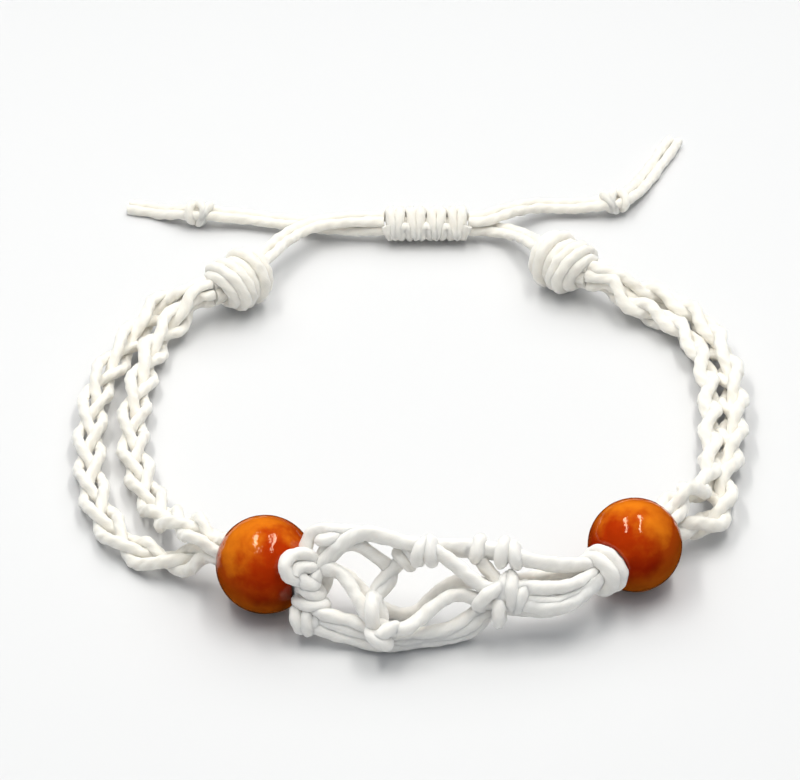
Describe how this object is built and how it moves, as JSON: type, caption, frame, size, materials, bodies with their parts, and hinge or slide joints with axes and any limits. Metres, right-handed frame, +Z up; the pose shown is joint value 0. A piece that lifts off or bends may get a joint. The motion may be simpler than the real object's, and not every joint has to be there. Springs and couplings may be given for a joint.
{
  "type": "macrame bracelet",
  "caption": "Knotted waxed-cotton bracelet lying flat: braided sides, an empty net pouch for a stone between wooden beads, and a sliding knot behind with knotted free ends.",
  "frame": {"origin": "middle of the wrist hollow, at the height of the surface that the bracelet lies on", "axes": "+Z up, along the axis of the wrist hollow; -Y towards the net pouch; +X to the right, seen from the net"},
  "size_m": [0.0758, 0.1003, 0.0115],
  "materials": {
    "wood": "lacquered, orange to red-brown",
    "net_cord": "waxed twisted cotton cord, off-white",
    "braid_cord": "waxed twisted cotton cord, off-white",
    "plain_cord": "waxed twisted cotton cord, off-white",
    "knots": "waxed twisted cotton cord, tied tight"
  },
  "bodies": {
    "root": {"left_bead": "wood", "right_bead": "wood", "crystal_net": "net_cord", "left_outer_strand_1": "braid_cord", "left_outer_strand_2": "braid_cord", "left_outer_strand_3": "braid_cord", "left_inner_strand_1": "braid_cord", "left_inner_strand_2": "braid_cord", "left_inner_strand_3": "braid_cord", "right_outer_strand_1": "braid_cord", "right_outer_strand_2": "braid_cord", "right_outer_strand_3": "braid_cord", "right_inner_strand_1": "braid_cord", "right_inner_strand_2": "braid_cord", "right_inner_strand_3": "braid_cord", "left_gathering_knot": "knots", "right_gathering_knot": "knots", "left_strap_1": "plain_cord", "left_strap_2": "plain_cord", "right_strap_1": "plain_cord", "right_strap_2": "plain_cord", "sliding_knot": "knots", "left_tail_1": "plain_cord", "left_tail_2": "plain_cord", "right_tail_1": "plain_cord", "right_tail_2": "plain_cord", "left_end_knot": "knots", "right_end_knot": "knots"}
  },
  "joints": []
}
